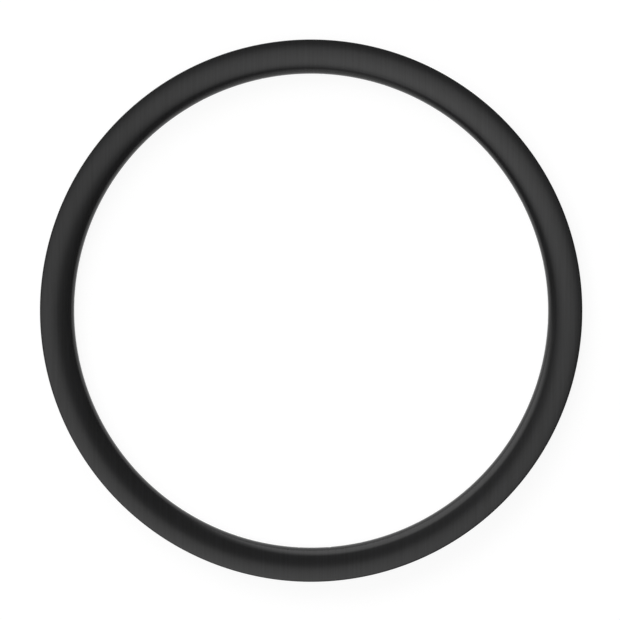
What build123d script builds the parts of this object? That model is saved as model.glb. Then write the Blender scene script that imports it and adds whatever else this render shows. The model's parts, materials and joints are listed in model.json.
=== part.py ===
from build123d import *
import math
import os

# A bicycle rim for a 622 mm tubeless tyre: one hollow moulding of carbon fibre laminate.
# Lengths are in millimetres and angles in degrees. The rim is turned about Z, the origin is
# the centre of the wheel, and the valve hole is on -Y.
# A point of the section is written as (distance from the axis, height above the mid-plane).

# Tyre seat
bead_seat_diameter = 622.0
inside_width = 21.0
flange_height = 6.0
flange_wall = 2.8

# Hook at the top of each flange, with its edges broken
hook_height = 2.4
hook_overhang = 0.6
hook_taper = 1.0
hook_edge_break = 0.9
outer_edge_break = 0.7

# Tyre bed between the flanges: two bead shelves, each with a hump, and the drop-centre channel
shelf_width = 3.2
hump_height = 0.4
hump_ramp = 0.7
channel_depth = 3.5
channel_ramp = 1.8

# Outside form: each flank is one shallow arc, and the nose is an arc tangent to both
rim_depth = 40.0
flank_radius = 100.0
widest_below_edge = 11.75

# Laminate around the hollow, whose walls are straight between their corners
flank_wall = 0.8
haunch_wall = 1.3
haunch_angle = 45.0
tyre_bed_wall = 1.2
spoke_bed_wall = 2.0
spoke_bed_width = 9.0
flange_root = 2.8

# Holes
spoke_count = 24
spoke_hole_diameter = 4.5
access_hole_diameter = 8.5
valve_hole_diameter = 6.5
valve_angle = -90.0
drill_overrun = 1.0

# Distances from the axis
seat_radius = bead_seat_diameter / 2
edge_radius = seat_radius + flange_height
flank_top_radius = edge_radius - outer_edge_break
widest_radius = edge_radius - widest_below_edge
crest_radius = edge_radius - rim_depth
channel_radius = seat_radius - channel_depth
hollow_crest_radius = crest_radius + spoke_bed_wall
hollow_shelf_radius = seat_radius - tyre_bed_wall
hollow_roof_radius = channel_radius - tyre_bed_wall
hollow_root_radius = hollow_shelf_radius - flange_root

# Heights above the mid-plane
bead_wall_height = inside_width / 2
hook_nose_height = bead_wall_height - hook_overhang
shelf_end_height = bead_wall_height - shelf_width
hump_top_height = shelf_end_height - hump_ramp
channel_half_width = hump_top_height - channel_ramp
flank_bulge = flank_radius - math.sqrt(flank_radius**2 - widest_below_edge**2)
half_width = bead_wall_height + flange_wall + flank_bulge

# Nose: tangent to both flanks, and as deep as the rim
nose_drop = widest_radius - crest_radius
flank_centre_height = half_width - flank_radius
nose_radius = (flank_radius**2 - flank_centre_height**2 - nose_drop**2) / (2 * (flank_radius - nose_drop))
nose_centre_radius = crest_radius + nose_radius
nose_lean = math.atan2(widest_radius - nose_centre_radius, -flank_centre_height)
nose_end_radius = nose_centre_radius - nose_radius * math.sin(nose_lean)
nose_end_height = nose_radius * math.cos(nose_lean)


def flank_height(radius):
    """Height of the upper flank at a distance from the axis."""
    return flank_centre_height + math.sqrt(flank_radius**2 - (radius - widest_radius) ** 2)


def both_halves(upper_points):
    """The points of the upper half of a symmetric path, then their mirror images in reverse."""
    lower_points = [(radius, -height) for radius, height in reversed(upper_points)]
    return upper_points + lower_points


def draw_flanks_and_nose():
    """Both flanks from the flanges' edges inwards, and the nose that joins them."""
    for side in (1, -1):
        ThreePointArc(
            (flank_top_radius, side * flank_height(flank_top_radius)),
            (widest_radius, side * half_width),
            (nose_end_radius, side * nose_end_height),
        )
    ThreePointArc(
        (nose_end_radius, nose_end_height),
        (crest_radius, 0),
        (nose_end_radius, -nose_end_height),
    )


def draw_tyre_well():
    """The flanges' edges, hooks and bead walls, and the tyre bed between them."""
    flank_top_height = flank_height(flank_top_radius)
    upper_points = [
        (flank_top_radius, flank_top_height),
        (edge_radius, flank_top_height - outer_edge_break),
        (edge_radius, hook_nose_height + hook_edge_break),
        (edge_radius - hook_edge_break, hook_nose_height),
        (edge_radius - hook_height, hook_nose_height),
        (edge_radius - hook_height - hook_taper, bead_wall_height),
        (seat_radius, bead_wall_height),
        (seat_radius, shelf_end_height),
        (seat_radius + hump_height, hump_top_height),
        (channel_radius, channel_half_width),
    ]
    Polyline(*both_halves(upper_points))


def draw_hollow():
    """The space inside the laminate, from the spoke bed round the flanks to the tyre bed."""
    haunch_reach = nose_radius - haunch_wall
    haunch_radius = nose_centre_radius - haunch_reach * math.sin(math.radians(haunch_angle))
    haunch_height = haunch_reach * math.cos(math.radians(haunch_angle))
    shoulder_height = nose_end_height - flank_wall
    root_height = flank_height(hollow_root_radius) - flank_wall
    upper_points = [
        (hollow_crest_radius, spoke_bed_width / 2),
        (haunch_radius, haunch_height),
        (nose_end_radius, shoulder_height),
        (hollow_root_radius, root_height),
        (hollow_shelf_radius, root_height - flange_root),
        (hollow_shelf_radius, hump_top_height),
        (hollow_roof_radius, channel_half_width),
    ]
    Polyline(*both_halves(upper_points), close=True)


def radial_drill(diameter, start_radius, end_radius):
    """Cut a round hole outwards along the local X axis, between two distances from the rim's axis."""
    with Locations(Location((start_radius, 0, 0), (0, 90, 0))):
        Cylinder(
            diameter / 2,
            end_radius - start_radius,
            align=(Align.CENTER, Align.CENTER, Align.MIN),
            mode=Mode.SUBTRACT,
        )


def build_rim():
    """Turn the hollow section into a ring, then drill its spoke, access and valve holes."""
    spoke_pitch = 360 / spoke_count
    hollow_middle_radius = (hollow_crest_radius + hollow_roof_radius) / 2
    drill_start_radius = crest_radius - drill_overrun
    with BuildPart() as rim:
        with BuildSketch(Plane.XZ):
            with BuildLine():
                draw_flanks_and_nose()
                draw_tyre_well()
            make_face()
            with BuildLine():
                draw_hollow()
            make_face(mode=Mode.SUBTRACT)
        revolve(axis=Axis.Z)
        with PolarLocations(0, spoke_count, start_angle=valve_angle + spoke_pitch / 2):
            radial_drill(spoke_hole_diameter, drill_start_radius, hollow_middle_radius)
            radial_drill(access_hole_diameter, hollow_middle_radius, edge_radius)
        with PolarLocations(0, 1, start_angle=valve_angle):
            radial_drill(valve_hole_diameter, drill_start_radius, edge_radius)
    return rim.part


os.makedirs("parts", exist_ok=True)
export_step(build_rim(), "parts/rim.step")
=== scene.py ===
import json
import math
from collections import namedtuple

import bpy
from mathutils import Matrix, Vector


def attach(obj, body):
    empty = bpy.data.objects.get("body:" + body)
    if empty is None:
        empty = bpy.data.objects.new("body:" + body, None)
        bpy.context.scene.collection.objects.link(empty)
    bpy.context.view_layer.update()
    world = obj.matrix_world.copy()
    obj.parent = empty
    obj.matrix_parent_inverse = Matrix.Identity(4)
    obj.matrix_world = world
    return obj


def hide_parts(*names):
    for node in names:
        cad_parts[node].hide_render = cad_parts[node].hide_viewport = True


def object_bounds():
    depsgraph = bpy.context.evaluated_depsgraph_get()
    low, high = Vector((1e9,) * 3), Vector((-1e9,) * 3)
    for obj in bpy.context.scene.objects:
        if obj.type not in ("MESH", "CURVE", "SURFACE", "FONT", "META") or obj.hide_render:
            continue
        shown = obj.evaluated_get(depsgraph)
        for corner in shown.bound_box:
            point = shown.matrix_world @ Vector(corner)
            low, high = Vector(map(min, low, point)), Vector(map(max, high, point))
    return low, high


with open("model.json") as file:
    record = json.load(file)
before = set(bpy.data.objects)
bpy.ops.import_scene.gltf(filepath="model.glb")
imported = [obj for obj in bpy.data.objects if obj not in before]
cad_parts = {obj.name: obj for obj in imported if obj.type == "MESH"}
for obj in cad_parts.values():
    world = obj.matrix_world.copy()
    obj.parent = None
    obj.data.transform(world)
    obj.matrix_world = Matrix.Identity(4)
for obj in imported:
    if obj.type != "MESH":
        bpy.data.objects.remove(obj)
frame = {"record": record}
cad_low, cad_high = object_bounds()

# A carbon bicycle rim that lies flat on white paper, seen from straight above along its axis.
# Section sizes are in millimetres, and MM turns them into metres.
# A point of the section is (distance from the axis, height above the mid-plane).
MM = 0.001

mounts = {mount["name"]: mount for mount in frame["record"]["mounts"]}
tyre_seat = mounts["tyre_seat"]["dims"]
bores = [mount for mount in mounts.values() if mount["kind"] == "bore"]

# Outside form, as in the solid
edge_radius = cad_high.x / MM
half_width = cad_high.z / MM
seat_radius = tyre_seat["r_mm"]
bead_wall_height = tyre_seat["length_mm"] / 2
rim_depth = 40.0
flank_radius = 100.0
widest_below_edge = 11.75

# Hooked flanges and the tyre bed between them
hook_height = 2.4
hook_overhang = 0.6
hook_taper = 1.0
shelf_width = 3.2
hump_height = 0.4
hump_ramp = 0.7
channel_depth = 3.5
channel_ramp = 1.8

# Moulded rounds along the edges
outer_edge_round = 0.9
hook_edge_round = 1.0
hook_root_round = 0.5
bead_corner_round = 0.8
hump_round = 0.5
channel_foot_round = 1.2

# Laminate around the hollow, and the hollow's soft corners
flank_wall = 0.8
haunch_wall = 1.3
haunch_angle = math.radians(45)
tyre_bed_wall = 1.2
spoke_bed_wall = 2.0
spoke_bed_width = 9.0
flange_root = 2.8
hollow_round = 2.0
hollow_roof_round = 1.0

# Drilled holes
access_hole_radius = 4.25
drill_overrun = 6.0
drill_sides = 48

# Fineness of the mesh
turn_steps = 288
nose_steps = 26
flank_steps = 18
round_steps = 5
sharp_edge_angle = math.radians(32)

# Distances from the axis and heights above the mid-plane
widest_radius = edge_radius - widest_below_edge
crest_radius = edge_radius - rim_depth
channel_radius = seat_radius - channel_depth
shelf_end_height = bead_wall_height - shelf_width
hump_top_height = shelf_end_height - hump_ramp
channel_half_width = hump_top_height - channel_ramp

# Nose: an arc tangent to both flanks, and as deep as the rim
flank_centre = (widest_radius, half_width - flank_radius)
nose_drop = widest_radius - crest_radius
nose_radius = (flank_radius**2 - flank_centre[1] ** 2 - nose_drop**2) / (2 * (flank_radius - nose_drop))
nose_centre = (crest_radius + nose_radius, 0.0)
nose_lean = math.atan2(widest_radius - nose_centre[0], -flank_centre[1])


# Section

def arc(centre, radius, start, end, steps):
    """Points along a circle from a start angle to an end angle, both included."""
    angles = [start + (end - start) * step / steps for step in range(steps + 1)]
    return [(centre[0] + radius * math.cos(a), centre[1] + radius * math.sin(a)) for a in angles]


def rounded(start, corners, end):
    """A path of straight runs whose corners, each (point, round), are turned into arcs."""
    points = [Vector(start)] + [Vector(point) for point, size in corners] + [Vector(end)]
    sizes = [size for point, size in corners]
    path = [tuple(start)]
    for before, corner, after, size in zip(points, points[1:], points[2:], sizes):
        back = (before - corner).normalized()
        onward = (after - corner).normalized()
        half_angle = back.angle(onward) / 2
        centre = corner + (back + onward).normalized() * size / math.sin(half_angle)
        first = corner + back * size / math.tan(half_angle) - centre
        last = corner + onward * size / math.tan(half_angle) - centre
        turn = first.angle_signed(last)
        start_angle = math.atan2(first.y, first.x)
        path += arc(centre, size, start_angle, start_angle - turn, round_steps)
    return path + [tuple(end)]


def closed_section(upper_half):
    """A loop from its upper half, which starts and ends on the mid-plane, and the mirror image."""
    lower_half = [(radius, -height) for radius, height in reversed(upper_half[1:-1])]
    return upper_half + lower_half


def flank_height(radius):
    """Height of the upper flank at a distance from the axis."""
    return flank_centre[1] + math.sqrt(flank_radius**2 - (radius - widest_radius) ** 2)


def outside_section():
    """The moulding's outside: nose, flanks, hooked flanges and tyre bed."""
    # The flank's arc stops short of the edge, to leave room for the edge's round
    flank_end_radius = edge_radius - 2 * outer_edge_round
    flank_end_angle = math.acos((flank_end_radius - widest_radius) / flank_radius)
    nose_end_angle = math.pi / 2 + nose_lean
    nose = arc(nose_centre, nose_radius, math.pi, nose_end_angle, nose_steps)
    flank = arc(flank_centre, flank_radius, nose_end_angle, flank_end_angle, flank_steps)
    hook_nose_height = bead_wall_height - hook_overhang
    corners = [
        ((edge_radius, flank_height(edge_radius)), outer_edge_round),
        ((edge_radius, hook_nose_height), hook_edge_round),
        ((edge_radius - hook_height, hook_nose_height), hook_root_round),
        ((edge_radius - hook_height - hook_taper, bead_wall_height), hook_root_round),
        ((seat_radius, bead_wall_height), bead_corner_round),
        ((seat_radius, shelf_end_height), hump_round),
        ((seat_radius + hump_height, hump_top_height), hump_round),
        ((channel_radius, channel_half_width), channel_foot_round),
    ]
    tyre_side = rounded(flank[-1], corners, (channel_radius, 0.0))
    return closed_section(nose + flank[1:] + tyre_side[1:])


def hollow_section():
    """The space inside the laminate, with the soft corners that a moulding bladder leaves."""
    crest = crest_radius + spoke_bed_wall
    shelf = seat_radius - tyre_bed_wall
    roof = channel_radius - tyre_bed_wall
    root = shelf - flange_root
    root_height = flank_height(root) - flank_wall
    nose_end = nose_centre[0] - nose_radius * math.sin(nose_lean)
    shoulder_height = nose_radius * math.cos(nose_lean) - flank_wall
    haunch_reach = nose_radius - haunch_wall
    haunch = nose_centre[0] - haunch_reach * math.sin(haunch_angle)
    haunch_height = haunch_reach * math.cos(haunch_angle)
    corners = [
        ((crest, spoke_bed_width / 2), hollow_round),
        ((haunch, haunch_height), hollow_round),
        ((nose_end, shoulder_height), hollow_round),
        ((root, root_height), hollow_round),
        ((shelf, root_height - flange_root), hollow_roof_round),
        ((shelf, hump_top_height), hollow_roof_round),
        ((roof, channel_half_width), hollow_roof_round),
    ]
    return closed_section(rounded((crest, 0.0), corners, (roof, 0.0)))


# Meshes

def new_piece(name, vertices, faces):
    """A mesh object of that name, in the scene."""
    mesh = bpy.data.meshes.new(name)
    mesh.from_pydata(vertices, [], faces)
    mesh.validate()
    piece = bpy.data.objects.new(name, mesh)
    bpy.context.scene.collection.objects.link(piece)
    return piece


def turned(sections):
    """Vertices and faces of closed sections turned about Z. A reversed loop faces inwards."""
    vertices = []
    faces = []
    for section in sections:
        first = len(vertices)
        count = len(section)
        for step in range(turn_steps):
            angle = 2 * math.pi * step / turn_steps
            x = math.cos(angle) * MM
            y = math.sin(angle) * MM
            vertices += [(radius * x, radius * y, height * MM) for radius, height in section]
        for step in range(turn_steps):
            here = first + step * count
            there = first + (step + 1) % turn_steps * count
            for place in range(count):
                following = (place + 1) % count
                faces.append((here + place, here + following, there + following, there + place))
    return vertices, faces


def drill_runs():
    """Direction, radius, start and end of every drill: one for the valve, two at each spoke hole."""
    hollow_middle = (crest_radius + channel_radius) / 2
    inner_start = crest_radius - drill_overrun
    outer_end = edge_radius + drill_overrun
    runs = []
    for bore in bores:
        outwards = Vector(bore["axis"])
        radius = bore["dims"]["r_mm"]
        if bore["name"] == "valve_hole":
            runs.append((outwards, radius, inner_start, outer_end))
        else:
            runs.append((outwards, radius, inner_start, hollow_middle - drill_overrun))
            runs.append((outwards, access_hole_radius, hollow_middle, outer_end))
    return runs


def drills():
    """Vertices and faces of the drills, each a closed prism of many sides."""
    upright = Vector((0, 0, 1))
    # Half a side's turn keeps the prism's corners off the moulding's own edges
    angles = [2 * math.pi * (side + 0.5) / drill_sides for side in range(drill_sides)]
    vertices = []
    faces = []
    for outwards, radius, start, end in drill_runs():
        first = len(vertices)
        sideways = outwards.cross(upright)
        for distance in (start, end):
            for angle in angles:
                spread = sideways * math.cos(angle) + upright * math.sin(angle)
                vertices.append((outwards * distance + spread * radius) * MM)
        near = list(range(first, first + drill_sides))
        far = list(range(first + drill_sides, first + 2 * drill_sides))
        for side in range(drill_sides):
            following = (side + 1) % drill_sides
            faces.append((near[side], far[side], far[following], near[following]))
        faces.append(near)
        faces.append(far[::-1])
    return vertices, faces


def drilled(piece, cutter):
    """Cuts the drills out of the piece for good, and takes the drills away."""
    cut = piece.modifiers.new("drilled", "BOOLEAN")
    cut.operation = "DIFFERENCE"
    cut.solver = "EXACT"
    cut.material_mode = "TRANSFER"
    cut.object = cutter
    evaluated = piece.evaluated_get(bpy.context.evaluated_depsgraph_get())
    whole = piece.data
    piece.data = bpy.data.meshes.new_from_object(evaluated)
    piece.modifiers.remove(cut)
    bpy.data.meshes.remove(whole)
    bpy.data.meshes.remove(cutter.data)


def make_rim():
    """The whole moulding: a hollow turned section with its holes drilled through it."""
    sections = [outside_section(), hollow_section()[::-1]]
    piece = new_piece("rim_moulding", *turned(sections))
    piece.data.materials.append(carbon_laminate())
    cutter = new_piece("drills", *drills())
    cutter.data.materials.append(cut_laminate())
    drilled(piece, cutter)
    piece.data.shade_smooth()
    piece.data.set_sharp_from_angle(angle=sharp_edge_angle)
    return piece


# Materials

def linear(hex_colour):
    """Linear RGBA of an sRGB hex colour."""
    channels = [int(hex_colour[place:place + 2], 16) / 255 for place in (1, 3, 5)]
    return [c / 12.92 if c <= 0.04045 else ((c + 0.055) / 1.055) ** 2.4 for c in channels] + [1.0]


def add_node(tree, kind, settings=None, values=None, links=None):
    """Adds a node with its settings, the values of its inputs and the outputs linked to them."""
    node = tree.nodes.new(kind)
    for name, setting in (settings or {}).items():
        setattr(node, name, setting)
    for name, value in (values or {}).items():
        node.inputs[name].default_value = value
    for name, output in (links or {}).items():
        tree.links.new(output, node.inputs[name])
    return node


def new_material(name):
    """An empty node material and its node tree."""
    material = bpy.data.materials.new(name)
    material.use_nodes = True
    material.node_tree.nodes.clear()
    return material, material.node_tree


# The picture's directions in the frame: the rim is rolled a little about its axis
image_roll = math.radians(-4.5)
image_right = Vector((math.cos(image_roll), math.sin(image_roll), 0))
image_up = Vector((-math.sin(image_roll), math.cos(image_roll), 0))


def carbon_laminate():
    """Unidirectional carbon fibre, moulded, under a satin clear coat."""
    # Nearly black, with a soft broad sheen and faint straight streaks, where tows of fibre lie
    # side by side and stand a little proud under the coat. Single fibres are far too fine to
    # show, so the finer streaks are bundles of them. The streaks stand upright in the
    # photograph, so they are rolled with the picture.
    tow_spacing = 2.6
    tow_length = 160.0
    bundle_spacing = 1.5
    bundle_length = 60.0
    bundle_share = 0.4
    streak_detail = 1.0
    tow_relief = 0.01
    # From the gaps between tows to the tops of the tows, as levels of the streaks
    gap_level = 0.35
    tow_level = 0.65
    gap_colour = "#1a1a1a"
    tow_colour = "#202021"
    gap_roughness = 0.23
    tow_roughness = 0.21
    coat_ior = 1.40
    material, tree = new_material("carbon_laminate_satin_coat")
    place = add_node(tree, "ShaderNodeTexCoord")
    streaks = []
    for spacing, length in ((tow_spacing, tow_length), (bundle_spacing, bundle_length)):
        laid = add_node(
            tree, "ShaderNodeMapping", {"vector_type": "TEXTURE"},
            values={
                "Rotation": (0, 0, image_roll),
                "Scale": (spacing * MM, length * MM, length * MM),
            },
            links={"Vector": place.outputs["Object"]},
        )
        noise = add_node(
            tree, "ShaderNodeTexNoise",
            values={"Scale": 1.0, "Detail": streak_detail},
            links={"Vector": laid.outputs["Vector"]},
        )
        streaks.append(noise.outputs["Fac"])
    tows, bundles = streaks
    mixed = add_node(
        tree, "ShaderNodeMix", values={"Factor": bundle_share}, links={"A": tows, "B": bundles}
    )
    laid_up = mixed.outputs["Result"]
    colour = add_node(tree, "ShaderNodeValToRGB", links={"Fac": laid_up})
    gap_stop, tow_stop = colour.color_ramp.elements
    gap_stop.position = gap_level
    gap_stop.color = linear(gap_colour)
    tow_stop.position = tow_level
    tow_stop.color = linear(tow_colour)
    sheen = add_node(
        tree, "ShaderNodeMapRange",
        values={
            "From Min": gap_level,
            "From Max": tow_level,
            "To Min": gap_roughness,
            "To Max": tow_roughness,
        },
        links={"Value": laid_up},
    )
    relief = add_node(
        tree, "ShaderNodeBump",
        values={"Strength": 1.0, "Distance": tow_relief * MM},
        links={"Height": laid_up},
    )
    shader = add_node(
        tree, "ShaderNodeBsdfPrincipled",
        values={"IOR": coat_ior},
        links={
            "Base Color": colour.outputs["Color"],
            "Roughness": sheen.outputs["Result"],
            "Normal": relief.outputs["Normal"],
        },
    )
    add_node(tree, "ShaderNodeOutputMaterial", links={"Surface": shader.outputs["BSDF"]})
    return material


def cut_laminate():
    """Carbon laminate where a drill went through it, with no coat on the cut."""
    # Dull charcoal, with the edges of its plies as fine rings about the rim's axis. Real plies
    # are about 0.15 mm thick, too fine to show, so they are drawn thicker.
    ply_thickness = 0.4
    dark_ply = "#232324"
    pale_ply = "#3a3a3c"
    cut_roughness = 0.6
    # The texture's rings repeat every pi / 10 of its own length
    rings_scale = math.pi / (10 * ply_thickness * MM)
    material, tree = new_material("cut_carbon_laminate")
    place = add_node(tree, "ShaderNodeTexCoord")
    plies = add_node(
        tree, "ShaderNodeTexWave", {"wave_type": "RINGS", "rings_direction": "Z"},
        values={"Scale": rings_scale},
        links={"Vector": place.outputs["Object"]},
    )
    colour = add_node(tree, "ShaderNodeValToRGB", links={"Fac": plies.outputs["Fac"]})
    dark_stop, pale_stop = colour.color_ramp.elements
    dark_stop.color = linear(dark_ply)
    pale_stop.color = linear(pale_ply)
    shader = add_node(
        tree, "ShaderNodeBsdfPrincipled",
        values={"Roughness": cut_roughness},
        links={"Base Color": colour.outputs["Color"]},
    )
    add_node(tree, "ShaderNodeOutputMaterial", links={"Surface": shader.outputs["BSDF"]})
    return material


def white_paper():
    """White paper, uncoated and matt."""
    # The camera and mirror rays see it as plain white with a faint shadow: most of what they
    # see is the paper's own white, and the rest is lit
    paper_colour = "#f4f4f4"
    plain_white = "#ffffff"
    own_white = 0.885
    shadow_share = 0.2
    material, tree = new_material("white_paper")
    rays = add_node(tree, "ShaderNodeLightPath")
    seen = rays.outputs["Is Camera Ray"]
    for kind in ("Is Glossy Ray", "Is Transmission Ray"):
        either = add_node(
            tree, "ShaderNodeMath", {"operation": "MAXIMUM"}, links={0: seen, 1: rays.outputs[kind]}
        )
        seen = either.outputs["Value"]
    lit = add_node(tree, "ShaderNodeBsdfDiffuse", values={"Color": linear(paper_colour)})
    faint = add_node(tree, "ShaderNodeBsdfDiffuse", values={"Color": [shadow_share] * 3 + [1.0]})
    plain = add_node(
        tree, "ShaderNodeEmission", values={"Color": linear(plain_white), "Strength": own_white}
    )
    shown = add_node(
        tree, "ShaderNodeAddShader", links={0: faint.outputs["BSDF"], 1: plain.outputs["Emission"]}
    )
    paper = add_node(
        tree, "ShaderNodeMixShader",
        links={0: seen, 1: lit.outputs["BSDF"], 2: shown.outputs["Shader"]},
    )
    add_node(tree, "ShaderNodeOutputMaterial", links={"Surface": paper.outputs["Shader"]})
    return material


# Studio, in metres

def make_floor():
    """White paper under the rim, wide enough to fill the view."""
    reach = 30.0
    corners = [(-reach, -reach), (reach, -reach), (reach, reach), (-reach, reach)]
    vertices = [(x, y, cad_low.z) for x, y in corners]
    floor = new_piece("paper_floor", vertices, [(0, 1, 2, 3)])
    floor.data.materials.append(white_paper())


# Soft lights of the studio, as the rim mirrors them. Each has the bearing of its middle,
# anticlockwise from the picture's right, and its tilt from straight up, in degrees. How far it
# reaches to its sides and up and down are chords of a unit sphere, and it fades over a share of
# them, from its full radiance to nothing at its border.
SoftLight = namedtuple("SoftLight", "bearing tilt sideways upwards fade radiance")
ceiling_lamp = SoftLight(bearing=246, tilt=7.5, sideways=0.286, upwards=0.228, fade=0.16, radiance=1.33)
ceiling_glow = SoftLight(bearing=242, tilt=31.4, sideways=0.575, upwards=0.60, fade=0.86, radiance=1.30)
window_wall = SoftLight(bearing=120, tilt=120, sideways=1.03, upwards=1.60, fade=0.227, radiance=2.04)
low_fill = SoftLight(bearing=269, tilt=119.7, sideways=0.93, upwards=1.264, fade=0.99, radiance=2.12)


def add_soft_light(tree, direction, light):
    """Nodes for one soft light in the world, and the socket with its radiance in a direction."""
    bearing = math.radians(light.bearing)
    tilt = math.radians(light.tilt)
    across = image_up * math.cos(bearing) - image_right * math.sin(bearing)
    ahead = image_right * math.cos(bearing) + image_up * math.sin(bearing)
    middle = ahead * math.sin(tilt) + Vector((0, 0, math.cos(tilt)))
    axes = Matrix((across, middle.cross(across), middle)).transposed()
    depth = max(light.sideways, light.upwards)
    placed = add_node(
        tree, "ShaderNodeMapping", {"vector_type": "TEXTURE"},
        values={
            "Location": middle,
            "Rotation": axes.to_euler(),
            "Scale": (light.sideways, light.upwards, depth),
        },
        links={"Vector": direction},
    )
    reach = add_node(
        tree, "ShaderNodeVectorMath", {"operation": "LENGTH"},
        links={"Vector": placed.outputs["Vector"]},
    )
    faded = add_node(
        tree, "ShaderNodeMapRange", {"interpolation_type": "SMOOTHSTEP"},
        values={
            "From Min": 1.0,
            "From Max": 1.0 - light.fade,
            "To Min": 0.0,
            "To Max": light.radiance,
        },
        links={"Value": reach.outputs["Value"]},
    )
    return faded.outputs["Result"]


def make_world():
    """A dim studio with its soft lights, and a pale band along the horizon."""
    dim = 0.15
    horizon = 1.0
    band_top = 0.03
    light_colour = "#ffffff"
    world = bpy.data.worlds.new("studio")
    world.use_nodes = True
    bpy.context.scene.world = world
    tree = world.node_tree
    tree.nodes.clear()
    place = add_node(tree, "ShaderNodeTexCoord")
    direction = place.outputs["Generated"]
    split = add_node(tree, "ShaderNodeSeparateXYZ", links={"Vector": direction})
    glow = add_node(
        tree, "ShaderNodeMapRange", {"interpolation_type": "SMOOTHSTEP"},
        values={
            "From Min": band_top / 2,
            "From Max": band_top,
            "To Min": horizon,
            "To Max": dim,
        },
        links={"Value": split.outputs["Z"]},
    )
    total = glow.outputs["Result"]
    for light in (ceiling_lamp, ceiling_glow, window_wall, low_fill):
        radiance = add_soft_light(tree, direction, light)
        both = add_node(tree, "ShaderNodeMath", {"operation": "ADD"}, links={0: total, 1: radiance})
        total = both.outputs["Value"]
    backdrop = add_node(
        tree, "ShaderNodeBackground",
        values={"Color": linear(light_colour)},
        links={"Strength": total},
    )
    add_node(tree, "ShaderNodeOutputWorld", links={"Surface": backdrop.outputs["Background"]})


def make_camera():
    """A far camera straight above the rim, rolled so that the holes stand as in the photograph."""
    distance = 20.0
    view_depth = 100.0
    image_pixels = 620
    rim_radius_pixels = 271.27
    rim_right_pixels = 1.15
    rim_down_pixels = 0.65
    sensor = 36.0
    pixel = edge_radius * MM / rim_radius_pixels
    edge_distance = distance - flank_height(edge_radius) * MM
    camera_data = bpy.data.cameras.new("camera")
    camera_data.sensor_width = sensor
    camera_data.lens = sensor * edge_distance / (image_pixels * pixel)
    camera_data.clip_end = view_depth
    camera = bpy.data.objects.new("camera", camera_data)
    offset = image_up * rim_down_pixels * pixel - image_right * rim_right_pixels * pixel
    camera.location = offset + Vector((0, 0, distance))
    camera.rotation_mode = "QUATERNION"
    axes = Matrix((image_right, image_up, (0, 0, 1))).transposed()
    camera.rotation_quaternion = axes.to_quaternion()
    bpy.context.scene.collection.objects.link(camera)
    bpy.context.scene.camera = camera


rim = make_rim()
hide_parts("rim")
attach(rim, "root")

make_floor()
make_world()
make_camera()
bpy.context.scene.view_settings.view_transform = "Standard"
